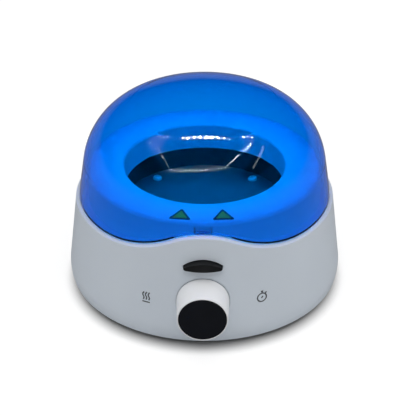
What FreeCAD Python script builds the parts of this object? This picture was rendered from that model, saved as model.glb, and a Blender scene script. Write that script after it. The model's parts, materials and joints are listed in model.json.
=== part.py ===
"""Dry bath incubator with a domed lid: a round bench instrument that warms a block of tubes.

Sizes are in millimetres. +Z is up and the front, with the knob, faces -Y. Heights are
measured from the table. Each piece is drawn around the upright axis of the round case, and
the whole is then moved along Y, so that the origin is the middle of the footprint.
"""
import FreeCAD, Part
import math
import os
import re

import Sketcher
from FreeCAD import Vector

doc = FreeCAD.newDocument("dry_bath_incubator")
dims = doc.addObject("Spreadsheet::Sheet", "dims")

SIZES = {
    # Shared by all pieces
    "wall": 2.5,
    "clearance": 0.3,
    "touch_gap": 0.1,
    "overlap": 1.0,
    # Round case: foot, bulged ring near the table, straight taper up to the rim
    "case_bottom": 2.5,
    "case_draft": 7.21,
    "belly_z": 13.0,
    "belly_r": 26.0,
    "case_rim_r": 81.4,
    "rim_z": 58.0,
    # Wave of the rim at the front, and the soft band below it
    "wave_rise": 14.3,
    "wave_crest_r": 45.0,
    "wave_foot_r": 103.0,
    "band_drop": 6.2,
    "band_depth": 1.2,
    # Raised deck and the wall of the well
    "deck_step": 8.4,
    "deck_top": 77.8,
    "deck_round": 2.0,
    "well_r": 50.3,
    "well_round": 1.5,
    "well_wall_z": 61.7,
    # Liner of the well and its lugs
    "cup_r": 51.8,
    "cup_wall": 2.0,
    "cup_flange_in": 11.8,
    "cup_flange": 3.0,
    "cup_lug_share": 0.37,
    "cup_lug_r": 4.5,
    "cup_lug_top": 55.0,
    "cup_lug": 3.0,
    # Heated floor and what lies under it
    "floor_z": 47.0,
    "plate": 4.0,
    "plate_screw_in": 6.8,
    "film": 0.8,
    "film_in": 2.0,
    "pad": 6.0,
    "pad_in": 1.0,
    "sensor_r": 1.5,
    "sensor_x": 12.0,
    "sensor_depth": 2.0,
    "sensor_tail": 2.0,
    "cutout_r": 7.5,
    "cutout_x": -20.0,
    "cutout_body": 7.0,
    "cutout_tab": 4.0,
    "cutout_tab_w": 1.5,
    "cutout_tab_gap": 5.0,
    # Lid dome
    "lid_step": 1.8,
    "lid_draft": 9.0,
    "lid_crown": 43.85,
    "lid_shoulder_r": 45.5,
    "lid_top": 126.05,
    "lid_wall": 2.3,
    "lid_gap": 0.4,
    # Hinge of the lid
    "hinge_out": 4.6,
    "hinge_z": 62.0,
    "knuckle_r": 4.0,
    "lid_knuckle": 17.6,
    "case_knuckle": 26.0,
    "hinge_web_z": 43.0,
    "pin_r": 1.5,
    "pin_hold": 0.02,
    "pin_run": 0.08,
    # Release button
    "button_half": 11.5,
    "button_low": 51.8,
    "button_side": 1.4,
    "button_arch_r": 18.5,
    "button_corner": 1.2,
    "button_proud": 4.6,
    "button_face_r": 30.0,
    "button_flange_in": 4.4,
    "button_flange": 1.5,
    "button_flange_rim": 1.9,
    "button_gap": 0.35,
    "button_travel": 3.0,
    # Hook arm behind the button
    "arm_half": 4.65,
    "arm_sunk": 0.8,
    "arm": 1.8,
    "arm_low": 54.0,
    "arm_block_top": 60.0,
    "arm_gap": 0.6,
    "ledge_half": 4.2,
    "ledge_low": 72.9,
    "ledge_high": 74.2,
    "ledge_gap": 1.2,
    # Spring of the button and its seat
    "spring_z": 57.0,
    "spring_r": 2.6,
    "spring_wire_r": 0.35,
    "spring_pitch": 1.55,
    "spring_room": 8.4,
    "seat": 2.0,
    "seat_half": 7.0,
    "seat_low": 50.0,
    "peg_r": 1.9,
    "peg": 3.5,
    # Knob
    "knob_z": 29.5,
    "knob_length": 18.8,
    "knob_back_r": 15.9,
    "knob_front_r": 15.0,
    "knob_edge": 0.5,
    "knob_float": 1.2,
    "knob_seat_out": 0.6,
    "knob_gap": 0.3,
    "knob_push": 0.8,
    "web": 2.0,
    "sleeve_r": 8.0,
    "stem_r": 6.0,
    "skirt_r": 12.6,
    "window_r": 14.2,
    "window": 1.6,
    "window_inset": 0.3,
    "window_gap": 0.15,
    "carrier_wall": 1.5,
    "carrier_bore_r": 9.5,
    "display_board_depth": 1.5,
    "digits_w": 17.0,
    "digits_h": 8.0,
    "digits_depth": 2.4,
    # Control board behind the knob
    "control_in": 7.5,
    "control_board": 1.6,
    "control_half": 20.0,
    "control_half_z": 16.0,
    "control_pitch": 23.4,
    "pillar_r": 2.5,
    "encoder_r": 11.0,
    "encoder": 4.0,
    "switch_half": 3.0,
    "switch": 1.4,
    # Bottom cover, feet and their screws
    "cover_z": 2.9,
    "cover": 2.5,
    "foot_r": 8.0,
    "foot_at": 62.0,
    "foot_sunk": 0.6,
    "foot_round": 1.0,
    "post_r": 3.5,
    "post_in": 7.4,
    "post_angle": 30.0,
    "rib": 1.5,
    "rib_high": 3.0,
    "rib_from": 34.0,
    "rib_to": 68.0,
    "vent_count": 5,
    "vent_half": 20.0,
    "vent": 3.0,
    "vent_pitch": 8.0,
    "vent_first_y": -58.0,
    # Main board and what it carries
    "standoff": 6.6,
    "standoff_r": 3.0,
    "board": 1.6,
    "board_half": 30.0,
    "board_front": -20.0,
    "board_jack_lap": 4.2,
    "board_screw_x": 25.0,
    "board_screw_front": -15.0,
    "board_screw_back": 60.0,
    "capacitor_r": 5.0,
    "capacitor": 16.0,
    "capacitor_x": -18.0,
    "capacitor_y": 30.0,
    "buzzer_r": 6.0,
    "buzzer_bore_r": 1.2,
    "buzzer": 8.0,
    "buzzer_x": 14.0,
    "buzzer_y": -6.0,
    "transistor_w": 10.0,
    "transistor_d": 4.5,
    "transistor": 15.0,
    "transistor_x": 15.0,
    "transistor_y": 35.0,
    "connector_w": 14.0,
    "connector_d": 6.0,
    "connector": 7.0,
    "connector_x": -12.0,
    "connector_y": -4.0,
    # Power inlet at the back
    "jack_seat_out": 2.9,
    "jack_recess_half": 7.0,
    "jack_half": 5.5,
    "jack_body": 14.0,
    "jack_nose_r": 4.2,
    "jack_bore_r": 2.85,
    "jack_bore": 10.0,
    "jack_pin_r": 1.05,
    "jack_pin_inset": 1.0,
    # Screws
    "screw_r": 1.25,
    "screw_head_r": 2.8,
    "screw_head": 1.6,
    "screw_bite": 8.0,
    "screw_pass": 0.3,
    "screw_hold": 0.05,
    "small_screw_r": 0.9,
    "small_screw_head_r": 1.9,
    "small_screw_bite": 4.0,
}

for row, (alias, size) in enumerate(SIZES.items(), 1):
    dims.set(f"A{row}", alias)
    dims.set(f"B{row}", str(size))
    dims.setAlias(f"B{row}", alias)
doc.recompute()


# Radii, places and heights that follow from the sizes. All but axis_y are counted from the
# upright axis of the round case, which stands axis_y behind the middle of the footprint.
PLACES = {
    "far": "3 * case_rim_r",
    "taper": "tan(case_draft)",
    "belly_x": "case_rim_r + (rim_z - belly_z) * taper - belly_r * cos(case_draft)",
    "belly_mid": "belly_z - belly_r * sin(case_draft)",
    "case_foot_r": "belly_x + sqrt(belly_r^2 - (belly_mid - case_bottom)^2)",
    "crest_z": "rim_z + wave_rise",
    "wave_swing": "acos(1 - wave_rise / (wave_crest_r + wave_foot_r))",
    "wave_half": "(wave_crest_r + wave_foot_r) * sin(wave_swing)",
    "wave_turn_x": "wave_crest_r * sin(wave_swing)",
    "wave_turn_z": "crest_z - wave_crest_r * (1 - cos(wave_swing))",
    "deck_r": "case_rim_r - deck_step",
    "post_at": "case_rim_r - post_in",
    "lid_base_r": "case_rim_r - lid_step",
    "lid_side": "lid_top - lid_crown - rim_z",
    "cup_outer_r": "cup_r + cup_wall",
    "cup_lug_at": "cup_outer_r + cup_lug_share * (deck_r - wall - cup_outer_r)",
    "cup_flange_r": "cup_r - cup_flange_in",
    "plate_screw_at": "cup_r - plate_screw_in",
    "film_r": "cup_flange_r - film_in",
    "pad_r": "cup_flange_r - pad_in",
    "hinge_y": "case_rim_r + hinge_out",
    "button_front_r": "case_rim_r + button_proud",
    "button_top": "button_low + button_side + button_arch_r - sqrt(button_arch_r^2 - button_half^2)",
    "button_flange_y": "case_rim_r - button_flange_in",
    "arm_y": "deck_r - arm_sunk",
    "ledge_y": "deck_r + ledge_gap",
    "seat_y": "arm_y - arm - spring_room",
    "knob_seat_y": "case_rim_r + knob_seat_out",
    "knob_back_y": "knob_seat_y + knob_float",
    "knob_reach": "knob_back_y + knob_length",
    "axis_y": "(knob_reach - hinge_y - knuckle_r) / 2",
    "control_y": "knob_seat_y - control_in",
    "control_back": "control_y - control_board",
    "stem_end": "control_y + switch + knob_push + 2 * touch_gap",
    "carrier_back": "knob_back_y + web + clearance",
    "carrier_r": "skirt_r - clearance",
    "window_back": "knob_reach - window_inset - window",
    "display_back": "window_back - digits_depth - display_board_depth - clearance / 2",
    "plate_bottom": "floor_z - plate",
    "cover_top": "cover_z + cover",
    "board_z": "cover_top + standoff",
    "board_top": "board_z + board",
    "jack_seat_y": "case_rim_r + jack_seat_out",
    "jack_front": "jack_seat_y - wall",
    "jack_z": "board_top + jack_half",
    "board_back": "jack_front - jack_body + board_jack_lap",
}


def expression(text):
    """The text with each place written out and each size's name turned into its cell."""

    def known(word):
        name = word[0]
        if name in PLACES:
            return f"({expression(PLACES[name])})"
        return f"dims.{name}" if name in SIZES else name

    return re.sub(r"[a-z_]+", known, text)


def value(text):
    """The number that a text of sizes comes to."""
    found = dims.evalExpression(expression(text))
    return float(getattr(found, "Value", found))


def bind(item, prop, text):
    item.setExpression(prop, expression(text))


QUARTER_TURNS = {
    "z": FreeCAD.Rotation(),
    "x": FreeCAD.Rotation(Vector(0, 1, 0), 90),
    "y": FreeCAD.Rotation(Vector(1, 0, 0), -90),
}


def place(item, x="0", y="0", z="0", turn=None):
    """Puts a piece at a point counted from the case's axis."""
    item.Placement = FreeCAD.Placement(Vector(), turn or FreeCAD.Rotation())
    bind(item, "Placement.Base.x", x)
    bind(item, "Placement.Base.y", f"axis_y + ({y})")
    bind(item, "Placement.Base.z", z)
    return item


def rod(name, radius, low, high, x="0", y="0", z="0", along="z"):
    """A round bar from low to high along one axis. The other two axes give its centre."""
    bar = doc.addObject("Part::Cylinder", name)
    bind(bar, "Radius", radius)
    bind(bar, "Height", f"({high}) - ({low})")
    start = {"x": x, "y": y, "z": z}
    start[along] = low
    return place(bar, **start, turn=QUARTER_TURNS[along])


def block(name, x, y, z):
    """A box between two limits on each axis."""
    box = doc.addObject("Part::Box", name)
    for prop, (low, high) in (("Length", x), ("Width", y), ("Height", z)):
        bind(box, prop, f"({high}) - ({low})")
    return place(box, x[0], y[0], z[0])


def spoke(name, angle, start, end, width, z):
    """A box that runs outwards from the case's axis at an angle."""
    arm = doc.addObject("Part::Box", name)
    bind(arm, "Length", f"({end}) - ({start})")
    bind(arm, "Width", width)
    bind(arm, "Height", f"({z[1]}) - ({z[0]})")
    across = f"({width}) / 2"
    x = f"({start}) * cos({angle}) + {across} * sin({angle})"
    y = f"({start}) * sin({angle}) - {across} * cos({angle})"
    return place(arm, x, y, z[0], FreeCAD.Rotation(Vector(0, 0, 1), float(angle)))


def join(name, *pieces):
    fused = doc.addObject("Part::MultiFuse", name)
    fused.Shapes = list(pieces)
    fused.Refine = False
    return fused


def weld(name, base, *pieces):
    """Adds pieces to a moulding one after the other."""
    for i, piece in enumerate(pieces, 1):
        grown = doc.addObject("Part::Fuse", f"{name}_{i}")
        grown.Base = base
        grown.Tool = piece
        grown.Refine = False
        base = grown
    return base


def cut(name, base, *tools):
    pocketed = doc.addObject("Part::Cut", name)
    pocketed.Base = base
    pocketed.Tool = tools[0] if len(tools) == 1 else join(name + "_tools", *tools)
    pocketed.Refine = False
    return pocketed


def meet(name, base, tool):
    shared = doc.addObject("Part::Common", name)
    shared.Base = base
    shared.Tool = tool
    shared.Refine = False
    return shared


def arc_between(start, end, radius, side):
    """A circle's arc between two points. side is 1 if its centre is left of the way, else -1."""
    way = end - start
    half = way.Length / 2
    left = Vector(-way.y, way.x, 0).normalize()
    centre = (start + end) / 2 + left * side * math.sqrt(max(radius**2 - half**2, 0))
    angles = [math.atan2((p - centre).y, (p - centre).x) for p in (start, end)]
    if side < 0:
        angles.reverse()
    if angles[1] < angles[0]:
        angles[1] += 2 * math.pi
    return Part.ArcOfCircle(Part.Circle(centre, Vector(0, 0, 1), radius), *angles)


def draw(body, name, plane, outline):
    """A closed sketch through the outline's points, each held by its own two distances.

    A point is (across, up), or (across, up, radius, side) where an arc leads to it.
    """
    sketch = body.newObject("Sketcher::SketchObject", name)
    support = next(f for f in body.Origin.OriginFeatures if f.Role == plane)
    sketch.AttachmentSupport = [(support, "")]
    sketch.MapMode = "FlatFace"
    places = [Vector(value(point[0]), value(point[1]), 0) for point in outline]
    firsts, lasts = [], []
    for i, start in enumerate(places):
        arriving = outline[(i + 1) % len(outline)]
        end = places[(i + 1) % len(outline)]
        if len(arriving) == 2:
            sketch.addGeometry(Part.LineSegment(start, end), False)
            firsts.append(1)
            lasts.append(2)
        else:
            radius, side = arriving[2:]
            sketch.addGeometry(arc_between(start, end, value(radius), side), False)
            firsts.append(1 if side > 0 else 2)
            lasts.append(2 if side > 0 else 1)
            held = sketch.addConstraint(Sketcher.Constraint("Radius", i, value(radius)))
            bind(sketch, f"Constraints[{held}]", radius)
    for i, (point, at) in enumerate(zip(outline, places)):
        before = (i - 1) % len(outline)
        sketch.addConstraint(Sketcher.Constraint("Coincident", before, lasts[before], i, firsts[i]))
        held_by = ((point[0], at.x, "DistanceX", -2), (point[1], at.y, "DistanceY", -1))
        for text, number, kind, axis in held_by:
            if text == "0":
                sketch.addConstraint(Sketcher.Constraint("PointOnObject", i, firsts[i], axis))
            else:
                held = sketch.addConstraint(Sketcher.Constraint(kind, -1, 1, i, firsts[i], number))
                bind(sketch, f"Constraints[{held}]", text)
    return sketch


def turned(name, outline, axis="z", z="0"):
    """A body of revolution: outline points are (radius, distance along the axis)."""
    body = doc.addObject("PartDesign::Body", name)
    plane = "XZ_Plane" if axis == "z" else "XY_Plane"
    sketch = draw(body, name + "_outline", plane, outline)
    spin = body.newObject("PartDesign::Revolution", name + "_spin")
    spin.Profile = sketch
    spin.ReferenceAxis = (sketch, ["V_Axis"])
    spin.Angle = 360
    return place(body, z=z)


def profile(name, plane, outline, low, high, z="0"):
    """A straight body: the outline in XZ or YZ, reaching from low to high along the third axis."""
    body = doc.addObject("PartDesign::Body", name)
    pad = body.newObject("PartDesign::Pad", name + "_pad")
    pad.Profile = draw(body, name + "_outline", plane, outline)
    bind(pad, "Length", f"({high}) - ({low})")
    if plane == "XZ_Plane":
        return place(body, y=high, z=z)
    return place(body, x=low, z=z)


def span(half):
    """Two limits that lie evenly about the middle."""
    return f"-({half})", half


def on_circle(at, angles):
    """Places on a circle about the case's axis."""
    return [(f"({at}) * cos({angle})", f"({at}) * sin({angle})") for angle in angles]


def four_corners(across, low, high):
    """The corners of a rectangle that is centred across the case's axis."""
    return [(f"{side} * ({across})", end) for side in (-1, 1) for end in (low, high)]


def bars(name, places, radius, low, high, along="z"):
    """Like round bars, one at each place. A place is (x, y), or (x, z) where they lie along Y."""
    other = "y" if along == "z" else "z"
    return [
        rod(f"{name}_{i}", radius, low, high, along=along, **{"x": place_x, other: place_other})
        for i, (place_x, place_other) in enumerate(places, 1)
    ]


POST_PLACES = on_circle("post_at", ["post_angle", "180 - post_angle", "180 + post_angle", "360 - post_angle"])
FOOT_ANGLES = ["45", "135", "225", "315"]
FOOT_PLACES = on_circle("foot_at", FOOT_ANGLES)
PLATE_SCREW_PLACES = on_circle("plate_screw_at", FOOT_ANGLES)
RIB_ANGLES = ["0", "90", "180", "270", *FOOT_ANGLES]
LUG_ANGLES = ["90", "210", "330"]
LUG_PLACES = on_circle("cup_lug_at", LUG_ANGLES)
CONTROL_PLACES = four_corners(
    "control_pitch / 2", "knob_z - control_pitch / 2", "knob_z + control_pitch / 2"
)
BOARD_PLACES = four_corners("board_screw_x", "board_screw_front", "board_screw_back")
HINGE_SIDES = {
    "left": ("-case_knuckle", "-(lid_knuckle + lid_gap)"),
    "right": ("lid_knuckle + lid_gap", "case_knuckle"),
}


def screws(name, places, seat, bite, head, screw_r, head_r, into, along="z"):
    """A set of like screws. The heads lie at seat and the shanks run towards into, 1 or -1."""
    solids = []
    for i, (across, other) in enumerate(places, 1):
        where = {"x": across, "y" if along == "z" else "z": other}
        shank = [seat, f"({seat}) + {into} * ({bite})"]
        cap = [f"({seat}) - {into} * ({head})", seat]
        if into < 0:
            shank.reverse()
            cap.reverse()
        solids.append(
            join(
                f"{name}_{i}",
                rod(f"{name}_shank_{i}", screw_r, *shank, along=along, **where),
                rod(f"{name}_head_{i}", head_r, *cap, along=along, **where),
            )
        )
    group = doc.addObject("Part::Compound", name)
    group.Links = solids
    return group


def above_wave(name, lift):
    """All that lies above the rim's line: a wave at the front, level behind, raised by lift."""
    low, high = f"rim_z + ({lift})", "2 * lid_top"
    turn_z = f"wave_turn_z + ({lift})"
    outline = [
        ("-wave_half", low),
        ("-wave_turn_x", turn_z, "wave_foot_r", 1),
        ("wave_turn_x", turn_z, "wave_crest_r", -1),
        ("wave_half", low, "wave_foot_r", 1),
        ("far", low),
        ("far", high),
        ("-far", high),
        ("-far", low),
    ]
    front = profile(name + "_front", "XZ_Plane", outline, "-far", "0")
    back = block(name + "_back", span("far"), ("0", "far"), (low, high))
    return join(name, front, back)


def case_form(name, inset, low, lift):
    """The round case under the rim's line, moved in by inset: a bulged foot, then a taper."""
    top = "(crest_z + band_drop)"
    round_r = f"(belly_r - ({inset}))"
    round_case = turned(
        name + "_round",
        [
            ("0", low),
            (f"belly_x + sqrt({round_r}^2 - (belly_mid - ({low}))^2)", low),
            (
                f"belly_x + {round_r} * cos(case_draft)",
                f"belly_mid + {round_r} * sin(case_draft)",
                round_r,
                1,
            ),
            (f"case_rim_r - ({inset}) / cos(case_draft) - ({top} - rim_z) * taper", top),
            ("0", top),
        ],
    )
    return cut(name, round_case, above_wave(name + "_wave", lift))


SAME = 0.01


def lies_on(edge, radius_at, middle_y):
    """True if an edge runs along an upright round wall whose radius depends on the height."""
    first, last = edge.ParameterRange
    for share in (0, 0.3, 0.7, 1):
        point = edge.valueAt(first + (last - first) * share)
        if abs(math.hypot(point.x, point.y - middle_y) - radius_at(point.z)) > SAME:
            return False
    return True


def soften_rim(name, case):
    """Slopes the case's outer rim inwards over the band's height."""
    doc.recompute()
    rim_z, rim_r, slope = value("rim_z"), value("case_rim_r"), value("taper")
    band = doc.addObject("Part::Chamfer", name)
    band.Base = case
    band.Edges = [
        (i, value("band_depth"), value("band_drop"))
        for i, edge in enumerate(case.Shape.Edges, 1)
        if edge.BoundBox.ZMin > rim_z - SAME
        and lies_on(edge, lambda z: rim_r - (z - rim_z) * slope, value("axis_y"))
    ]
    return band


def build_case():
    """The white case: one moulding with its deck, well wall, bosses and hinge knuckles."""
    outer = soften_rim("case_outer", case_form("case_whole", "0", "case_bottom", "0"))
    inner = case_form("case_inner", "wall", "case_bottom - overlap", "-wall")
    opening = rod("deck_opening", "deck_r - wall / 2", "rim_z - 2 * wall", "crest_z + wall")
    shell = cut("case_shell", outer, inner, opening)
    deck = turned(
        "deck_ring",
        [
            ("deck_r - wall", "rim_z - wall"),
            ("deck_r", "rim_z - wall"),
            ("deck_r", "deck_top - deck_round"),
            ("deck_r - deck_round", "deck_top", "deck_round", 1),
            ("well_r + well_round", "deck_top"),
            ("well_r", "deck_top - well_round", "well_round", 1),
            ("well_r", "well_wall_z"),
            ("well_r + wall", "well_wall_z"),
            ("well_r + wall", "deck_top - wall"),
            ("deck_r - wall", "deck_top - wall"),
        ],
    )
    pillar_y = ("-(knob_seat_y - wall + overlap)", "-control_y")
    seat_z = ("seat_low", "deck_top - wall / 2")
    added = [
        *case_seats(outer),
        *bars("control_pillar", CONTROL_PLACES, "pillar_r", *pillar_y, "y"),
        *bars("cover_post", POST_PLACES, "post_r", "cover_top", "rim_z - wall / 2"),
        *bars("cup_hanger", LUG_PLACES, "cup_lug_r - overlap", "cup_lug_top", "deck_top - wall / 2"),
        block("spring_seat", span("seat_half"), ("-seat_y", "seat - seat_y"), seat_z),
        rod("spring_peg", "peg_r", "-(seat_y + peg)", "overlap - seat_y", z="spring_z", along="y"),
        *case_hinge(),
    ]
    return cut("base_housing", weld("case_solid", shell, deck, *added), *case_hollows())


def case_seats(outer):
    """The thick places of the case's wall that the knob and the power inlet sit in."""
    knob_r = "knob_back_r + knob_gap + wall"
    half = "jack_recess_half + wall"
    knob_pad = rod("knob_pad", knob_r, "-knob_reach", "-(knob_seat_y - wall)", z="knob_z", along="y")
    jack_pad = block(
        "jack_pad", span(half), ("jack_front", "knob_reach"), (f"jack_z - ({half})", f"jack_z + {half}")
    )
    return meet("knob_boss", knob_pad, outer), meet("jack_boss", jack_pad, outer)


def case_hinge():
    """The case's two knuckles, each on a web that leans out of the back wall."""
    web = [
        ("case_rim_r - wall", "hinge_web_z"),
        ("case_rim_r", "hinge_web_z"),
        ("hinge_y + knuckle_r", "hinge_z - knuckle_r / 2"),
        ("hinge_y", "hinge_z"),
        ("case_rim_r - wall", "rim_z - lid_gap"),
    ]
    webs = [profile(f"hinge_web_{side}", "YZ_Plane", web, *ends) for side, ends in HINGE_SIDES.items()]
    knuckles = [
        rod(f"case_knuckle_{side}", "knuckle_r", *ends, y="hinge_y", z="hinge_z", along="x")
        for side, ends in HINGE_SIDES.items()
    ]
    return webs + knuckles


def case_hollows():
    """What is cut from the case: the knob's pocket, the button's slots, the inlet and the holes."""
    recess_z = ("jack_z - jack_recess_half", "jack_z + jack_recess_half")
    arm_y = ("-(deck_r + overlap)", "-(arm_y - arm - button_travel - lid_gap)")
    button_y = ("-(button_flange_y + clearance)", "-(seat_y + clearance)")
    button_z = ("button_low - button_flange_rim - wall", "arm_block_top + wall")
    hole_r = "screw_r + screw_hold"
    small_hole_r = "small_screw_r + screw_hold"
    small_hole_y = ("-(control_y + small_screw_bite)", "-(control_y - overlap)")
    bite = "screw_bite + overlap"
    pin_x = span("case_knuckle + overlap")
    return [
        rod("knob_pocket", "knob_back_r + knob_gap", "-far", "-knob_seat_y", z="knob_z", along="y"),
        rod("knob_bore", "sleeve_r + clearance", "-far", "-control_y", z="knob_z", along="y"),
        block("jack_recess", span("jack_recess_half"), ("jack_seat_y", "far"), recess_z),
        rod("jack_hole", "jack_nose_r + clearance", "jack_front - wall", "far", z="jack_z", along="y"),
        profile("button_slot", "XZ_Plane", button_outline("button_gap"), "-far", "wall - button_flange_y"),
        block("arm_slot", span("arm_half + arm_gap"), arm_y, ("seat_low", "deck_top - wall")),
        block("button_bay", span("button_half + wall"), button_y, button_z),
        rod("case_pin_hole", "pin_r + pin_hold", *pin_x, y="hinge_y", z="hinge_z", along="x"),
        *bars("control_hole", CONTROL_PLACES, small_hole_r, *small_hole_y, "y"),
        *bars("post_hole", POST_PLACES, hole_r, "cover_top - overlap", f"cover_top + {bite}"),
        *bars("hanger_hole", LUG_PLACES, hole_r, "cup_lug_top - overlap", f"cup_lug_top + {bite}"),
    ]


def button_outline(grow):
    """The button's face: a flat foot with round corners under a low arch."""
    half = f"(button_half + {grow})"
    low = f"button_low - {grow}"
    shoulder = f"button_low + button_side + {grow}"
    return [
        (f"button_corner - {half}", low, "button_corner", 1),
        (f"{half} - button_corner", low),
        (half, f"{low} + button_corner", "button_corner", 1),
        (half, shoulder),
        (f"-{half}", shoulder, "button_arch_r", 1),
        (f"-{half}", f"{low} + button_corner"),
    ]


def build_button():
    """The black push button: its arched cap, rounded in plan, and the flange that keeps it in."""
    face_y = "-(button_front_r - button_face_r)"
    cap_y = ("-knob_reach", "button_flange / 2 - button_flange_y")
    cap = meet(
        "button_cap",
        profile("button_bar", "XZ_Plane", button_outline("0"), *cap_y),
        rod("button_front", "button_face_r", "0", "deck_top", y=face_y),
    )
    flange = block(
        "button_flange_plate",
        span("button_half + button_flange_rim"),
        ("-button_flange_y", "button_flange - button_flange_y"),
        ("button_low - button_flange_rim", "button_top + button_flange_rim"),
    )
    return join("release_button", cap, flange)


def build_arm():
    """The hook arm: a block on the button's flange and a flat arm that rises into the deck."""
    back = "arm - arm_y"
    foot_y = ("button_flange - button_flange_y", back)
    foot = block("arm_block", span("arm_half + clearance"), foot_y, ("arm_low", "arm_block_top"))
    blade_z = ("arm_low", "deck_top - wall - clearance")
    return join("latch_slider", foot, block("arm_blade", span("arm_half"), ("-arm_y", back), blade_z))


def build_spring():
    """The button's coil spring, lying along Y between the arm and its seat."""
    helix = doc.addObject("Part::Helix", "spring_path")
    bind(helix, "Radius", "spring_r")
    bind(helix, "Pitch", "spring_pitch")
    bind(helix, "Height", "arm_y - arm - seat_y - 2 * (spring_wire_r + touch_gap)")
    wire = doc.addObject("Part::Circle", "spring_wire")
    bind(wire, "Radius", "spring_wire_r")
    wire.Placement.Rotation = FreeCAD.Rotation(Vector(1, 0, 0), 90)
    bind(wire, "Placement.Base.x", "spring_r")
    coil = doc.addObject("Part::Sweep", "latch_spring")
    coil.Sections = [wire]
    coil.Spine = (helix, ["Edge1"])
    coil.Solid = True
    coil.Frenet = True
    start = "-(arm_y - arm - spring_wire_r - touch_gap)"
    return place(coil, y=start, z="spring_z", turn=QUARTER_TURNS["y"])


def lid_outline(inset):
    """Half of the dome's outline from its straight side to its top, moved in by inset."""
    side_x = "(lid_base_r - lid_side * tan(lid_draft))"
    side_z = "(rim_z + lid_side)"
    centre_x = f"({side_x} - lid_shoulder_r * cos(lid_draft))"
    centre_z = f"({side_z} - lid_shoulder_r * sin(lid_draft))"
    spare = "(lid_top - lid_shoulder_r)"
    crown_z = f"(({centre_x}^2 + {centre_z}^2 - {spare}^2) / (2 * ({centre_z} - {spare})))"
    crown_r = f"(lid_top - {crown_z})"
    lean = f"(({centre_z} - {crown_z}) / ({crown_r} - lid_shoulder_r))"
    slant = f"({centre_x} / ({crown_r} - lid_shoulder_r))"
    low_z = "case_bottom"
    low_x = f"lid_base_r + (rim_z - {low_z}) * tan(lid_draft)"
    return [
        (f"{low_x} - ({inset}) / cos(lid_draft)", low_z),
        (f"{side_x} - ({inset}) * cos(lid_draft)", f"{side_z} - ({inset}) * sin(lid_draft)"),
        (
            f"({crown_r} - ({inset})) * {slant}",
            f"{crown_z} + ({crown_r} - ({inset})) * {lean}",
            f"lid_shoulder_r - ({inset})",
            1,
        ),
        ("0", f"lid_top - ({inset})", f"{crown_r} - ({inset})", 1),
        ("0", low_z),
    ]


def build_lid():
    """The blue dome, cut along the rim's wave, with a hinge arm behind and a ledge in front."""
    dome = turned("lid_dome", lid_outline("0"))
    hollow = turned("lid_hollow", lid_outline("lid_wall"))
    knuckle_x = span("lid_knuckle")
    arm_y = ("lid_base_r - 2 * lid_wall", "hinge_y")
    arm = block("lid_arm", knuckle_x, arm_y, ("rim_z", "hinge_z + knuckle_r"))
    knuckle = rod("lid_knuckle_bar", "knuckle_r", *knuckle_x, y="hinge_y", z="hinge_z", along="x")
    outside = join("lid_outside", dome, arm, knuckle)
    ledge_bar = block(
        "catch_bar", span("ledge_half"), ("-lid_base_r", "-ledge_y"), ("ledge_low", "ledge_high")
    )
    shell = join("lid_shell", cut("lid_hollowed", outside, hollow), meet("catch_ledge", ledge_bar, dome))
    trimmed = meet("lid_trimmed", shell, above_wave("lid_wave", "lid_gap"))
    hole_x = span("lid_knuckle + overlap")
    hole = rod("lid_pin_hole", "pin_r + pin_run", *hole_x, y="hinge_y", z="hinge_z", along="x")
    return cut("lid", trimmed, hole)


def build_pin():
    return rod("hinge_pin", "pin_r", *span("case_knuckle"), y="hinge_y", z="hinge_z", along="x")


def build_cup():
    """The black liner: a ring with an inner flange for the floor and three lugs to the case."""
    flange_low = "plate_bottom - cup_flange"
    liner = turned(
        "cup_ring",
        [
            ("cup_flange_r", flange_low),
            ("cup_outer_r", flange_low),
            ("cup_outer_r", "well_wall_z - clearance"),
            ("cup_r", "well_wall_z - clearance"),
            ("cup_r", "plate_bottom"),
            ("cup_flange_r", "plate_bottom"),
        ],
    )
    lug_z = ("cup_lug_top - cup_lug", "cup_lug_top - touch_gap")
    arms = [
        spoke(f"cup_lug_arm_{i}", angle, "cup_r + cup_wall / 2", "cup_lug_at", "2 * cup_lug_r", lug_z)
        for i, angle in enumerate(LUG_ANGLES, 1)
    ]
    boss_z = (f"{flange_low} - screw_bite / 2", f"{flange_low} + cup_flange / 2")
    whole = join(
        "cup_whole",
        liner,
        *bars("cup_lug_end", LUG_PLACES, "cup_lug_r", *lug_z),
        *arms,
        *bars("floor_boss", PLATE_SCREW_PLACES, "post_r", *boss_z),
    )
    lug_hole_z = ("cup_lug_top - 2 * cup_lug", "cup_lug_top + overlap")
    boss_hole_z = ("plate_bottom - screw_bite - overlap", "floor_z")
    return cut(
        "well_cup",
        whole,
        *bars("lug_hole", LUG_PLACES, "screw_r + screw_pass", *lug_hole_z),
        *bars("boss_hole", PLATE_SCREW_PLACES, "screw_r + screw_hold", *boss_hole_z),
    )


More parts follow.
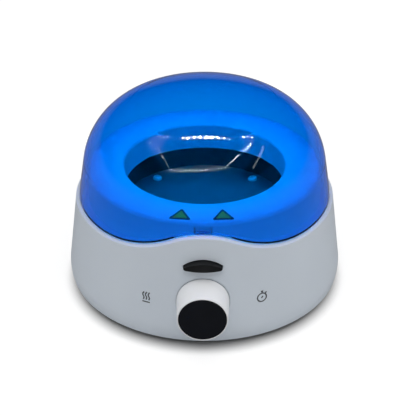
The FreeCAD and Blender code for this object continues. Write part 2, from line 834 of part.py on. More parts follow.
def build_heater():
    """The heated floor and what lies against its underside."""
    sensor_top = "plate_bottom + sensor_depth"
    disc = rod("plate_disc", "cup_r - clearance", "plate_bottom", "floor_z")
    hole_z = ("plate_bottom - overlap", "floor_z + overlap")
    floor = cut(
        "heater_plate",
        disc,
        *bars("plate_hole", PLATE_SCREW_PLACES, "screw_r + screw_pass", *hole_z),
        rod("sensor_hole", "sensor_r + screw_hold", hole_z[0], sensor_top, x="sensor_x"),
    )
    film_low, pad_low = "(plate_bottom - film)", "(plate_bottom - film - pad)"
    ways = [("sensor_r + clearance", "sensor_x"), ("cutout_r + clearance", "cutout_x")]
    layers = []
    for name, radius, low, high in (
        ("heater_film", "film_r", film_low, "plate_bottom"),
        ("insulation_pad", "pad_r", pad_low, film_low),
    ):
        passages = [
            rod(f"{name}_way_{i}", way_r, f"{low} - overlap", f"{high} + overlap", x=x)
            for i, (way_r, x) in enumerate(ways, 1)
        ]
        layers.append(cut(name, rod(name + "_disc", radius, low, high), *passages))
    sensor = rod("temperature_sensor", "sensor_r", f"{pad_low} - sensor_tail", sensor_top, x="sensor_x")
    can_low = "plate_bottom - cutout_body"
    tabs = []
    for i, side in enumerate((-1, 1), 1):
        middle = f"cutout_x + {side} * cutout_tab_gap / 2"
        tab_x = (f"{middle} - cutout_tab_w / 2", f"{middle} + cutout_tab_w / 2")
        tab_z = (f"{can_low} - cutout_tab", f"{can_low} + overlap")
        tabs.append(block(f"cutout_tab_{i}", tab_x, span("cutout_tab_w"), tab_z))
    can = rod("cutout_can", "cutout_r", can_low, "plate_bottom", x="cutout_x")
    return [floor, *layers, sensor, join("thermal_cutout", can, *tabs)]


def build_well_screws():
    head = ("screw_head", "screw_r", "screw_head_r")
    lug_low = "cup_lug_top - cup_lug"
    return [
        screws("plate_screws", PLATE_SCREW_PLACES, "floor_z", "screw_bite", *head, -1),
        screws("cup_screws", LUG_PLACES, lug_low, "screw_bite + cup_lug", *head, 1),
    ]


def build_knob():
    """The turning ring, and the fixed centre that it turns about."""
    sleeve_end = "-(stem_end + clearance)"
    rebate = "-(window_back - window_gap)"
    ring = turned(
        "knob_ring",
        [
            ("stem_r + clearance", sleeve_end),
            ("stem_r + clearance", "-(knob_back_y + web)"),
            ("skirt_r", "-(knob_back_y + web)"),
            ("skirt_r", rebate),
            ("window_r + window_gap", rebate),
            ("window_r + window_gap", "-knob_reach"),
            ("knob_front_r - knob_edge", "-knob_reach"),
            ("knob_front_r", "knob_edge - knob_reach", "knob_edge", 1),
            ("knob_back_r", "-knob_back_y"),
            ("sleeve_r", "-knob_back_y"),
            ("sleeve_r", sleeve_end),
        ],
        axis="y",
        z="knob_z",
    )
    inner_r = "carrier_r - carrier_wall"
    carrier = turned(
        "display_carrier",
        [
            ("0", "-stem_end"),
            ("0", "-(carrier_back + carrier_wall)"),
            ("carrier_bore_r", "-(carrier_back + carrier_wall)"),
            ("carrier_bore_r", "-display_back"),
            (inner_r, "-display_back"),
            (inner_r, "-window_back"),
            ("carrier_r", "-window_back"),
            ("carrier_r", "-carrier_back"),
            ("stem_r", "-carrier_back"),
            ("stem_r", "-stem_end"),
        ],
        axis="y",
        z="knob_z",
    )
    window_y = ("window_inset - knob_reach", "-window_back")
    window = rod("display_window", "window_r", *window_y, z="knob_z", along="y")
    board_front = "-(display_back + display_board_depth)"
    disc_r = f"{inner_r} - clearance"
    disc = rod("display_disc", disc_r, board_front, "-display_back", z="knob_z", along="y")
    face_y = (f"{board_front} - digits_depth", f"{board_front} + display_board_depth / 2")
    face_z = ("knob_z - digits_h / 2", "knob_z + digits_h / 2")
    face = block("display_digits", span("digits_w / 2"), face_y, face_z)
    return [ring, carrier, window, join("display_module", disc, face)]


def build_controls():
    """The upright board behind the knob with its encoder and push switch."""
    board_y = ("-control_y", "-control_back")
    board_z = ("knob_z - control_half_z", "knob_z + control_half_z")
    way_y = ("-(control_y + overlap)", "overlap - control_back")
    board = cut(
        "control_board",
        block("control_plate", span("control_half"), board_y, board_z),
        *bars("control_way", CONTROL_PLACES, "small_screw_r + screw_pass", *way_y, "y"),
    )
    encoder_y = "-(control_y + encoder)"
    bore_y = (f"{encoder_y} - overlap", "overlap - control_y")
    encoder = cut(
        "encoder",
        rod("encoder_case", "encoder_r", encoder_y, "-control_y", z="knob_z", along="y"),
        rod("encoder_bore", "sleeve_r + clearance", *bore_y, z="knob_z", along="y"),
    )
    switch_z = ("knob_z - switch_half", "knob_z + switch_half")
    switch = block("push_switch", span("switch_half"), ("-(control_y + switch)", "-control_y"), switch_z)
    bite = "small_screw_bite + control_board - overlap"
    head = ("small_screw_head_r / 2", "small_screw_r", "small_screw_head_r")
    held = screws("control_screws", CONTROL_PLACES, "-control_back", bite, *head, -1, along="y")
    return [board, encoder, switch, held]


def build_bottom():
    """The cover, its rubber feet and the screws that hold it."""
    disc = rod("cover_disc", "case_foot_r - wall - clearance", "cover_z", "cover_top")
    through = ("0", "cover_top + overlap")
    sink_z = "cover_z + cover / 2"
    foot_top = "cover_z + foot_sunk"
    vents = [
        block(
            f"vent_{i + 1}",
            span("vent_half"),
            (f"vent_first_y + {i} * vent_pitch", f"vent_first_y + {i} * vent_pitch + vent"),
            through,
        )
        for i in range(int(value("vent_count")))
    ]
    rib_z = ("cover_top - overlap", "cover_top + rib_high")
    ribs = [
        spoke(f"cover_rib_{i}", angle, "rib_from", "rib_to", "rib", rib_z)
        for i, angle in enumerate(RIB_ANGLES, 1)
    ]
    standoffs = bars("standoff", BOARD_PLACES, "standoff_r", "cover_top - overlap", "board_z")
    cover = cut(
        "bottom_cover",
        join("cover_whole", disc, *ribs, *standoffs),
        *bars("standoff_hole", BOARD_PLACES, "screw_r + screw_hold", "cover_top", "board_z + overlap"),
        *bars("cover_way", POST_PLACES, "screw_r + screw_pass", *through),
        *bars("cover_sink", POST_PLACES, "screw_head_r + clearance", "0", sink_z),
        *bars("foot_pocket", FOOT_PLACES, "foot_r", "0", foot_top),
        *vents,
    )
    feet = []
    for i, (x, y) in enumerate(FOOT_PLACES, 1):
        foot = turned(
            f"rubber_foot_{i}",
            [
                ("0", "0"),
                ("foot_r - 2 * foot_round", "0"),
                ("foot_r - foot_round", "foot_round", "foot_round", 1),
                ("foot_r - foot_round", "cover_z"),
                ("foot_r", "cover_z"),
                ("foot_r", foot_top),
                ("0", foot_top),
            ],
        )
        feet.append(place(foot, x, y))
    head = ("cover / 2 - clearance / 2", "screw_r", "screw_head_r")
    held = screws("cover_screws", POST_PLACES, sink_z, "screw_bite + cover / 2", *head, 1)
    return [cover, *feet, held]


def on_board(name, across, deep, high):
    """A box-shaped component that stands on the main board at its own place."""
    x = (f"{name}_x - {across} / 2", f"{name}_x + {across} / 2")
    y = (f"{name}_y - {deep} / 2", f"{name}_y + {deep} / 2")
    return x, y, ("board_top", f"board_top + {high}")


def build_electronics():
    """The main board, its screws and what is soldered to it."""
    board_y = ("board_front", "board_back")
    board = cut(
        "main_board",
        block("board_plate", span("board_half"), board_y, ("board_z", "board_top")),
        *bars("board_hole", BOARD_PLACES, "screw_r + screw_pass", "board_z - overlap", "board_top + overlap"),
    )
    bite = "board + standoff - clearance"
    head = ("screw_head", "screw_r", "screw_head_r")
    held = screws("board_screws", BOARD_PLACES, "board_top", bite, *head, -1)
    can = {"x": "capacitor_x", "y": "capacitor_y"}
    capacitor = rod("capacitor", "capacitor_r", "board_top", "board_top + capacitor", **can)
    at = {"x": "buzzer_x", "y": "buzzer_y"}
    buzzer_top = "board_top + buzzer"
    buzzer = cut(
        "buzzer",
        rod("buzzer_can", "buzzer_r", "board_top", buzzer_top, **at),
        rod("buzzer_mouth", "buzzer_bore_r", "board_top + buzzer / 2", f"{buzzer_top} + overlap", **at),
    )
    transistor = block(
        "power_transistor", *on_board("transistor", "transistor_w", "transistor_d", "transistor")
    )
    connector = block("board_connector", *on_board("connector", "connector_w", "connector_d", "connector"))
    return [board, held, capacitor, buzzer, transistor, connector]


def build_jack():
    """The power inlet: a box on the board with a round nose, a bore and a contact pin."""
    middle = {"z": "jack_z", "along": "y"}
    body_y = ("jack_front - jack_body", "jack_front")
    bore_end = "jack_seat_y - jack_bore"
    shell = join(
        "jack_shell",
        block("jack_block", span("jack_half"), body_y, ("board_top", "jack_z + jack_half")),
        rod("jack_nose", "jack_nose_r", "jack_front - overlap", "jack_seat_y", **middle),
    )
    bore = rod("jack_bore_tool", "jack_bore_r", bore_end, "jack_seat_y + overlap", **middle)
    contact_y = (f"{bore_end} - overlap", "jack_seat_y - jack_pin_inset")
    contact = rod("jack_contact", "jack_pin_r", *contact_y, **middle)
    return join("power_jack", cut("jack_socket", shell, bore), contact)


pieces = [
    build_case(),
    build_lid(),
    build_pin(),
    build_button(),
    build_arm(),
    build_spring(),
    *build_knob(),
    *build_controls(),
    build_cup(),
    *build_heater(),
    *build_well_screws(),
    *build_bottom(),
    *build_electronics(),
    build_jack(),
]
doc.recompute()

for item in doc.Objects:
    if {"Invalid", "Error"} & set(item.State):
        raise RuntimeError(f"{item.Name} failed: {item.State}")
os.makedirs("parts", exist_ok=True)
for piece in pieces:
    shape = piece.Shape
    if shape.isNull() or not shape.isValid() or not shape.Solids:
        raise RuntimeError(f"{piece.Name} is not a valid solid")
    piece.Label = piece.Name
    shape.exportStep(f"parts/{piece.Label}.step")
    box = shape.optimalBoundingBox()
    reach = f"x {box.XMin:7.1f} {box.XMax:7.1f}  y {box.YMin:7.1f} {box.YMax:7.1f}"
    print(
        f"{piece.Label:20} {len(shape.Solids):2} solids {shape.Volume / 1000:9.2f} cm3 "
        f"{reach}  z {box.ZMin:6.1f} {box.ZMax:6.1f}"
    )
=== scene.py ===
# %% [markdown]
# Lesson: a dry bath incubator, a round bench instrument that warms a block of tubes under a
# blue dome. The construction comes from a finished model, with every piece at its real size.
# This file gives it what a camera sees: plastics, metal, print, light and a floor. Each step
# says what the real thing is made of and why it is made here in the way it is.

# %% Load the finished construction
import json
import math

import bmesh
import bpy
from mathutils import Matrix, Vector


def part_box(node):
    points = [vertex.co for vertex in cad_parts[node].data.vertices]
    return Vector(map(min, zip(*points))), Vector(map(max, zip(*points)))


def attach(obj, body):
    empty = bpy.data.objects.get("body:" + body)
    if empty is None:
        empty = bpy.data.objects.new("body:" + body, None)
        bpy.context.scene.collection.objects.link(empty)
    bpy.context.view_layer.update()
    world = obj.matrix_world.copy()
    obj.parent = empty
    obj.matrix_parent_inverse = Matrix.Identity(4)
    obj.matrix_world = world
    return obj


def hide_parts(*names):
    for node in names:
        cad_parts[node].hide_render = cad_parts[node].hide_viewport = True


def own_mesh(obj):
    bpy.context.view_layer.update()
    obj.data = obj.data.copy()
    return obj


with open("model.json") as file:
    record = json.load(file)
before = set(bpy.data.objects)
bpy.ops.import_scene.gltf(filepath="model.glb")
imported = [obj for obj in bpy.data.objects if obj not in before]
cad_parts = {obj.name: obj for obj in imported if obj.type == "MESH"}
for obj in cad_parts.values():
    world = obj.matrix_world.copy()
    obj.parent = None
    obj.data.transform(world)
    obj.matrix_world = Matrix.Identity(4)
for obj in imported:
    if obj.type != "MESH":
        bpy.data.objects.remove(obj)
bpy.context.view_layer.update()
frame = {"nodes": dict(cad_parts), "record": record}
MM = 0.001

# %% [markdown]
# A round product is easiest to dress when its upright axis is known. The heated floor of the
# well is a plain disc, so the middle of its box is that axis. The deck is the highest flat
# face of the white case, so the top of the case's box gives its height.

# %% Where the axis and the deck lie
plate_low, plate_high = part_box("heater_plate")
AXIS = Vector(((plate_low.x + plate_high.x) / 2, (plate_low.y + plate_high.y) / 2, 0))
DECK_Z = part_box("base_housing")[1].z
print("axis", [round(c / MM, 2) for c in AXIS], "deck", round(DECK_Z / MM, 2), "mm")

# %% [markdown]
# The camera comes first, because it decides which details count. The photograph was taken
# with a long lens from above the bench: upright lines hardly converge, and the rim of the
# case is a flat ellipse. Its tilt follows from how round the knob and the well look.

# %% The camera
CAMERA_TILT = math.radians(31.41)
CAMERA_TURN = math.radians(0.66)
CAMERA_AWAY = 0.713
CAMERA_UP = 0.479
CAMERA_SHIFT = 0.0083
SENSOR_MM = 36
LENS_MM = 112.5


def in_scene(name, data):
    """A new object with this mesh, curve, lamp or camera data, linked to the scene."""
    made = bpy.data.objects.new(name, data)
    bpy.context.scene.collection.objects.link(made)
    return made


camera = in_scene("camera", bpy.data.cameras.new("camera"))
camera.data.sensor_width = SENSOR_MM
camera.data.lens = LENS_MM
camera.data.shift_x = CAMERA_SHIFT
camera.location = AXIS + Vector(
    (CAMERA_AWAY * math.sin(CAMERA_TURN), -CAMERA_AWAY * math.cos(CAMERA_TURN), CAMERA_UP)
)
camera.rotation_euler = (math.pi / 2 - CAMERA_TILT, 0, CAMERA_TURN)
bpy.context.scene.camera = camera

# %% [markdown]
# Small helpers keep the rest short. Colours are picked as sRGB hex values, but shader sockets
# want linear light, so one function turns the one into the other. A second adds a node to any
# tree, for a material or for geometry: plain values fill a socket, and the output of another
# node is linked to it. The others make what most materials share: one shader, noise of a real
# size, a mix of two colours, and bump of a real depth.

# %% Helpers for colours and nodes
WHITE = (1, 1, 1, 1)


def linear(hex_colour):
    """A colour such as "E4E7EA" as the four linear numbers of a colour socket."""
    parts = [int(hex_colour[i : i + 2], 16) / 255 for i in (0, 2, 4)]
    return [p / 12.92 if p <= 0.04045 else ((p + 0.055) / 1.055) ** 2.4 for p in parts] + [1]


def add(tree, kind, sockets=None, **settings):
    """A new node of the tree. Sockets are named, or numbered where names repeat."""
    made = tree.nodes.new(kind)
    for name, setting in settings.items():
        setattr(made, name, setting)
    for name, given in (sockets or {}).items():
        if isinstance(given, bpy.types.NodeSocket):
            tree.links.new(given, made.inputs[name])
        else:
            made.inputs[name].default_value = given
    return made


def bare_material(name):
    """A new material with an empty tree. Returns both."""
    material = bpy.data.materials.new(name)
    material.use_nodes = True
    material.node_tree.nodes.clear()
    return material, material.node_tree


def surface(name, **values):
    """A new material with one Principled shader. Returns the material, its tree and the shader."""
    material, tree = bare_material(name)
    sockets = {word.replace("_", " "): number for word, number in values.items()}
    shader = add(tree, "ShaderNodeBsdfPrincipled", sockets)
    add(tree, "ShaderNodeOutputMaterial", {"Surface": shader.outputs[0]})
    return material, tree, shader


def noise(tree, size, detail=2.0, stretch=(1, 1, 1)):
    """Noise whose blotches are about this large, in metres, on the object's own coordinates."""
    place = add(tree, "ShaderNodeTexCoord")
    turned = add(tree, "ShaderNodeMapping", {"Vector": place.outputs["Object"], "Scale": stretch})
    cloud = {"Vector": turned.outputs[0], "Scale": 1 / size, "Detail": detail}
    return add(tree, "ShaderNodeTexNoise", cloud).outputs[0]


def spread(tree, factor, low, high):
    """Two colours mixed by a factor between 0 and 1."""
    mixed = add(tree, "ShaderNodeMix", data_type="RGBA")
    tree.links.new(factor, mixed.inputs[0])
    mixed.inputs[6].default_value = linear(low)
    mixed.inputs[7].default_value = linear(high)
    return mixed.outputs[2]


def roughen(tree, shader, height, depth):
    """Turns a height pattern into bump of this real depth, in metres."""
    bump = add(tree, "ShaderNodeBump", {"Height": height, "Distance": depth, "Strength": 1.0})
    tree.links.new(bump.outputs[0], shader.inputs["Normal"])


# %% [markdown]
# Moulded ABS. The case, the button, the knob and the cover are all injection-moulded ABS, an
# opaque and slightly glossy plastic with an IOR near 1.54. The steel mould of a case is
# spark-eroded, which leaves a fine even grain and a satin look, while the mould of a knob is
# polished. The liner of the well is a nylon that stands heat, moulded and grained in the same
# way. A real spark grain is about 0.1 mm, and it is drawn at 0.45 mm so that the picture can
# show it.

# %% ABS in four colours, and nylon
GRAIN = 0.45 * MM
COLOUR_DRIFT = 35 * MM


def moulded(name, low, high, roughness, grain_depth, shine=0.5):
    """Plastic from a mould: a faint drift of colour, and grain of this depth."""
    material, tree, shader = surface(name, Roughness=roughness, IOR=1.54)
    shader.inputs["Specular IOR Level"].default_value = shine
    drift = noise(tree, COLOUR_DRIFT, detail=1)
    tree.links.new(spread(tree, drift, low, high), shader.inputs["Base Color"])
    roughen(tree, shader, noise(tree, GRAIN), grain_depth)
    return material


FINISHES = {
    "white_abs": moulded("light_grey_abs_satin", "D6DFE9", "DCE5EE", 0.42, 0.02 * MM),
    "knob_white": moulded("white_abs_polished", "F1F3F6", "F7F8FA", 0.3, 0.006 * MM),
    "black_abs": moulded("black_abs_satin", "050608", "0B0D11", 0.45, 0.02 * MM, 0.25),
    "dark_cover": moulded("dark_grey_abs_eroded", "2A2D31", "34383C", 0.5, 0.04 * MM),
    "black_liner": moulded("black_heat_resistant_nylon", "06070A", "0C0E12", 0.6, 0.03 * MM, 0.1),
}

# %% [markdown]
# Blue polycarbonate. The dome is one clear tinted shell, moulded in a polished tool. The dye
# is all through the plastic, so the colour belongs to the volume and not to the surface: a
# look straight through the wall is azure, and a look along it, at the silhouette or into a
# moulded edge, is deep ultramarine. A Volume Absorption shader does that. Its colour and density
# say what one wall keeps: almost no red, a little under half of the green and most of the blue.
# The surface is a Principled shader with full transmission and polycarbonate's IOR of 1.585,
# and a grey specular tint holds its reflection back, because the photographed dome mirrors
# little of its room. A lamp cannot find its way through refracting glass without a great deal
# of noise, so shadow rays see a clear surface instead, and the volume still tints them.

# %% Tinted polycarbonate
LID_COLOUR = (0.0, 0.857, 0.969)
LID_DENSITY = 2400
LID_REFLECTION = (0.4, 0.4, 0.4, 1)


def tinted_polycarbonate():
    material, tree, shader = surface(
        "blue_polycarbonate_clear", Roughness=0.01, IOR=1.585, Transmission_Weight=1.0
    )
    shader.inputs["Base Color"].default_value = WHITE
    shader.inputs["Specular Tint"].default_value = LID_REFLECTION
    straight = add(tree, "ShaderNodeBsdfTransparent", {"Color": WHITE})
    light_path = add(tree, "ShaderNodeLightPath")
    both = {0: light_path.outputs["Is Shadow Ray"], 1: shader.outputs[0], 2: straight.outputs[0]}
    mixed = add(tree, "ShaderNodeMixShader", both)
    dye = add(tree, "ShaderNodeVolumeAbsorption", {"Color": (*LID_COLOUR, 1), "Density": LID_DENSITY})
    output = next(node for node in tree.nodes if node.type == "OUTPUT_MATERIAL")
    tree.links.new(mixed.outputs[0], output.inputs["Surface"])
    tree.links.new(dye.outputs[0], output.inputs["Volume"])
    return material


FINISHES["blue_polycarbonate"] = tinted_polycarbonate()

# %% [markdown]
# Metals. The floor of the well is a turned aluminium plate that is bead-blasted and anodised,
# so it is grey and matt with no direction in it. The screws in it are nickel-plated. They are
# only half metal, and the other half is pale diffuse colour, a painted highlight that keeps them
# bright even in shade, since no lamp shows in gloss. The hinge pin is ground steel with rings
# round it, and the spring is drawn wire. A metal keeps the default IOR, and its colour is the
# tint of its reflection.

# %% Metals


def metal(name, low, high, roughness, grain, depth, stretch=(1, 1, 1), metal_share=1.0):
    """Metal with a grain of this size, depth and direction. Below 1, the last argument leaves the rest
    as pale diffuse colour, a painted highlight.
    """
    material, tree, shader = surface(name, Metallic=metal_share, Roughness=roughness)
    pattern = noise(tree, grain, stretch=stretch)
    tree.links.new(spread(tree, pattern, low, high), shader.inputs["Base Color"])
    roughen(tree, shader, pattern, depth)
    return material


FINISHES.update(
    {
        "aluminium": metal("anodised_aluminium_blasted", "6E7276", "828689", 0.5, 0.5 * MM, 0.02 * MM),
        # Half metal: the pale diffuse half is a painted highlight, as no lamp shows in gloss.
        "bright_screw": metal(
            "nickel_plated_steel", "ECE9E2", "F4F2EC", 0.4, 2 * MM, 0.004 * MM, metal_share=0.5
        ),
        "steel": metal("ground_steel", "B4B4B2", "C6C6C4", 0.25, 0.4 * MM, 0.003 * MM, (6, 1, 1)),
        "spring_steel": metal("drawn_spring_wire", "8A8A88", "A6A6A3", 0.3, 0.3 * MM, 0.004 * MM),
    }
)

# %% [markdown]
# Window and display. The disc in the knob is smoked acrylic, so dark that the digits behind it
# show only when they are lit. It is modelled as what the eye gets: a nearly black, smooth
# surface with a weak reflection. The display behind it is a dark epoxy block.

# %% Smoked window and display block


def smoked_acrylic():
    material, tree, shader = surface("smoked_acrylic", Roughness=0.16, IOR=1.49)
    shader.inputs["Specular IOR Level"].default_value = 0.15
    tint = spread(tree, noise(tree, 12 * MM, detail=1), "0F1117", "14171E")
    tree.links.new(tint, shader.inputs["Base Color"])
    return material


def display_epoxy():
    material, tree, shader = surface("grey_display_epoxy", Roughness=0.35, IOR=1.55)
    tint = spread(tree, noise(tree, 2 * MM), "1C1D20", "26272B")
    tree.links.new(tint, shader.inputs["Base Color"])
    roughen(tree, shader, noise(tree, 0.6 * MM), 0.01 * MM)
    return material


FINISHES["black_window"] = smoked_acrylic()
FINISHES["display"] = display_epoxy()

# %% [markdown]
# Circuit boards. A board is glass cloth under green solder mask, and copper tracks show
# through as a lighter green. Two crossed sets of stripes, broken up by large noise, read as
# tracks without drawing each of them. Tracks lie 1.6 mm apart. A wave texture of scale 1 has a
# band roughly every third of a metre, which gives its scale here.

# %% Solder mask with tracks
TRACK = 1.6 * MM
BAND_AT_SCALE_1 = 0.32
TRACK_FROM = 0.72
TRACK_REGION = 14 * MM


def solder_mask():
    material, tree, shader = surface("green_solder_mask", Roughness=0.3, IOR=1.5)
    place = add(tree, "ShaderNodeTexCoord").outputs["Object"]
    stripes = []
    for direction in ("X", "Y"):
        wave = {"Vector": place, "Scale": BAND_AT_SCALE_1 / TRACK, "Distortion": 0.0}
        stripe = add(tree, "ShaderNodeTexWave", wave, bands_direction=direction)
        edge = {0: stripe.outputs["Fac"], 1: TRACK_FROM}
        stripes.append(add(tree, "ShaderNodeMath", edge, operation="GREATER_THAN").outputs[0])
    region = noise(tree, TRACK_REGION, detail=0)
    side = add(tree, "ShaderNodeMath", {0: region, 1: 0.5}, operation="GREATER_THAN")
    chosen = add(tree, "ShaderNodeMix", {0: side.outputs[0], 2: stripes[0], 3: stripes[1]})
    tint = spread(tree, chosen.outputs[0], "0B4A2B", "1C7A48")
    tree.links.new(tint, shader.inputs["Base Color"])
    roughen(tree, shader, chosen.outputs[0], 0.03 * MM)
    return material


FINISHES["circuit_board"] = solder_mask()

# %% [markdown]
# Small hidden parts. The heater film is amber polyimide with an etched track, the pad is
# needled felt, the feet are matt rubber, the capacitor wears a dark shrink sleeve and the
# connector is white nylon. Each gets the one trait that tells it from the others.

# %% Film, felt, rubber, sleeve and nylon


def soft_finish(name, low, high, roughness, grain, depth, sheen=0.0, stretch=(1, 1, 1)):
    """A dull material: colour and bump from one noise, with fuzz where sheen is above 0."""
    material, tree, shader = surface(name, Roughness=roughness, IOR=1.5, Sheen_Weight=sheen)
    pattern = noise(tree, grain, detail=4, stretch=stretch)
    tree.links.new(spread(tree, pattern, low, high), shader.inputs["Base Color"])
    roughen(tree, shader, pattern, depth)
    return material


FINISHES.update(
    {
        "film": soft_finish(
            "amber_polyimide_film", "A85A12", "C77A22", 0.25, 3 * MM, 0.03 * MM, stretch=(1, 5, 1)
        ),
        "felt": soft_finish("needled_felt", "B9B3A6", "D6D1C6", 0.95, 0.8 * MM, 0.3 * MM, sheen=0.4),
        "rubber": soft_finish("black_rubber", "17181A", "232527", 0.8, 1.2 * MM, 0.05 * MM, sheen=0.1),
        "capacitor_sleeve": soft_finish(
            "dark_shrink_sleeve", "14161C", "1D2028", 0.35, 4 * MM, 0.01 * MM
        ),
        "connector_white": soft_finish("white_nylon", "E2DFD6", "ECEAE3", 0.5, 1.5 * MM, 0.02 * MM),
    }
)

# %% [markdown]
# Dress the construction. The record names the finish of every piece, so one loop gives each
# mesh its material. The meshes stay as they are.

# %% Give each piece its finish
for part in frame["record"]["subparts"]:
    mesh = frame["nodes"][part["node"]].data
    mesh.materials.clear()
    mesh.materials.append(FINISHES[part["material_slot"]])

# %% [markdown]
# Printed symbols. Two small signs are pad-printed on the curved wall beside the knob: heat on
# the left and a stopwatch on the right. Each is drawn as flat strokes, and Geometry Nodes lay
# them on the wall: a ray from well in front of the case looks straight back for every point,
# and the point goes where the ray meets the wall. So the print follows the curve of the case.

# %% A tree that prints strokes on the case
PRINT_WIDTH = 0.78 * MM
PRINT_DEPTH = 0.12 * MM
RAY_FROM_Y = -0.3
RAY_LENGTH = 1.0


def new_tree(name, **inputs):
    """A Geometry Nodes tree with these named inputs. Returns it and the inputs' sockets."""
    tree = bpy.data.node_groups.new(name, "GeometryNodeTree")
    ports = tree.interface
    ports.new_socket("Geometry", in_out="INPUT", socket_type="NodeSocketGeometry")
    for word, kind in inputs.items():
        ports.new_socket(word, in_out="INPUT", socket_type="NodeSocket" + kind)
    ports.new_socket("Geometry", in_out="OUTPUT", socket_type="NodeSocketGeometry")
    return tree, add(tree, "NodeGroupInput").outputs


def end_tree(tree, geometry, material):
    """Ends a tree: its instances become real, and all of it gets this material."""
    real = add(tree, "GeometryNodeRealizeInstances", {"Geometry": geometry})
    painted = add(tree, "GeometryNodeSetMaterial", {"Geometry": real.outputs[0], "Material": material})
    add(tree, "NodeGroupOutput", {"Geometry": painted.outputs[0]})
    return tree


def printing_tree():
    sizes = {"Wall": "Object", "Width": "Float", "Depth": "Float"}
    tree, given = new_tree("print_on_wall", **sizes, Ink="Material")
    fine = {"Curve": given["Geometry"], "Length": given["Width"]}
    even = add(tree, "GeometryNodeResampleCurve", fine, mode="LENGTH")
    facing = add(tree, "GeometryNodeSetCurveNormal", {"Curve": even.outputs[0]}, mode="FREE")
    facing.inputs["Normal"].default_value = (0, 1, 0)
    size = {"Width": given["Depth"], "Height": given["Width"]}
    nib = add(tree, "GeometryNodeCurvePrimitiveQuadrilateral", size)
    drawn = {"Curve": facing.outputs[0], "Profile Curve": nib.outputs[0], "Fill Caps": True}
    ribbon = add(tree, "GeometryNodeCurveToMesh", drawn)
    point = add(tree, "GeometryNodeInputPosition").outputs[0]
    apart = add(tree, "ShaderNodeSeparateXYZ", {0: point}).outputs
    start = add(tree, "ShaderNodeCombineXYZ", {"X": apart["X"], "Y": RAY_FROM_Y, "Z": apart["Z"]})
    wall = add(tree, "GeometryNodeObjectInfo", {"Object": given["Wall"]}).outputs["Geometry"]
    ray = {"Target Geometry": wall, "Source Position": start.outputs[0], "Ray Direction": (0, 1, 0)}
    met = add(tree, "GeometryNodeRaycast", {**ray, "Ray Length": RAY_LENGTH})
    depth = add(tree, "ShaderNodeSeparateXYZ", {0: met.outputs["Hit Position"]}).outputs["Y"]
    sunk = add(tree, "ShaderNodeMath", {0: depth, 1: apart["Y"]}, operation="ADD")
    end = {"X": apart["X"], "Y": sunk.outputs[0], "Z": apart["Z"]}
    spot = add(tree, "ShaderNodeCombineXYZ", end).outputs[0]
    laid = add(tree, "GeometryNodeSetPosition", {"Geometry": ribbon.outputs[0], "Position": spot})
    return end_tree(tree, laid.outputs[0], given["Ink"])


def grown(name, source, tree, **values):
    """Runs a tree on an object with these inputs and keeps the result as a plain mesh object."""
    modifier = source.modifiers.new(tree.name, "NODES")
    modifier.node_group = tree
    for item in tree.interface.items_tree:
        if item.item_type == "SOCKET" and item.in_out == "INPUT" and item.name in values:
            modifier[item.identifier] = values[item.name]
    ready = source.evaluated_get(bpy.context.evaluated_depsgraph_get())
    mesh = bpy.data.meshes.new_from_object(ready)
    bpy.data.objects.remove(source)
    print(name, len(mesh.polygons), "faces")
    return in_scene(name, mesh)


# %% [markdown]
# The strokes themselves. A stroke is a list of points, across and up, in millimetres from the
# middle of the symbol. Rising heat is three wavy lines over a bar, and a sine gives the wave.
# The stopwatch is a ring with a crown, a side button and a short hand.

# %% Draw the two symbols
WAVE_STEPS = 12
WAVE_TURNS = 1.1
WAVE_SWING = 0.5
WAVE_LEAN = 0.4
WAVE_RISE = 5.0
WAVE_FOOT = -1.7
RING_R = 2.7
RING_STEPS = 28
SYMBOL_Z = 0.0287


def wavy_line(across):
    """One line of rising heat."""
    shares = [i / WAVE_STEPS for i in range(WAVE_STEPS + 1)]
    swings = [WAVE_SWING * math.sin(WAVE_TURNS * 2 * math.pi * t) for t in shares]
    return [
        (across + swing + WAVE_LEAN * t, WAVE_RISE * t + WAVE_FOOT) for swing, t in zip(swings, shares)
    ]


def circle(radius):
    turns = [2 * math.pi * i / RING_STEPS for i in range(RING_STEPS + 1)]
    return [(radius * math.sin(t), radius * math.cos(t)) for t in turns]


HEAT = [wavy_line(x) for x in (-1.75, -0.1, 1.55)] + [[(-2.3, -3.1), (2.3, -3.1)]]
STOPWATCH = [
    circle(RING_R),
    [(0, RING_R), (0, 4.0)],
    [(-0.7, 4.0), (0.7, 4.0)],
    [(2.0, 2.3), (2.7, 3.2)],
    [(-0.3, -0.4), (0.6, 0.7)],
]


def polylines(name, lines):
    """A curve object with one line of straight runs through each list of points, in metres."""
    curve = bpy.data.curves.new(name, "CURVE")
    curve.dimensions = "3D"
    for line in lines:
        spline = curve.splines.new("POLY")
        spline.points.add(len(line) - 1)
        for point, place in zip(spline.points, line):
            point.co = (*place, 1)
    return in_scene(name, curve)


def printing_ink():
    material, tree, shader = surface("grey_printing_ink", Roughness=0.55, IOR=1.5)
    tint = spread(tree, noise(tree, 0.3 * MM), "3E4146", "5A5E64")
    tree.links.new(tint, shader.inputs["Base Color"])
    return material


INK = printing_ink()
PRINTING = printing_tree()
SYMBOLS = {"heat_symbol": (HEAT, -0.0341), "stopwatch_symbol": (STOPWATCH, 0.0352)}
inputs = {
    "Wall": frame["nodes"]["base_housing"],
    "Width": PRINT_WIDTH,
    "Depth": PRINT_DEPTH,
    "Ink": INK,
}
for name, (lines, across) in SYMBOLS.items():
    upright = [[(across + x * MM, 0, SYMBOL_Z + z * MM) for x, z in line] for line in lines]
    drawn = polylines(name + "_strokes", upright)
    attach(grown(name, drawn, PRINTING, **inputs), "base")

# %% [markdown]
# Deck stickers. Two small triangles of coated paper are stuck to the front of the deck, under
# the lid. They stay plain here: a yellow field in a black border. A sticker is thin but not
# flat, and its cut edge catches light. So the border is a slab 0.15 mm thick with rounded
# corners, and the field is a thinner and smaller slab on top of it. Each sticker has its place
# in millimetres from the middle of the model, across and back, and a turn in degrees.

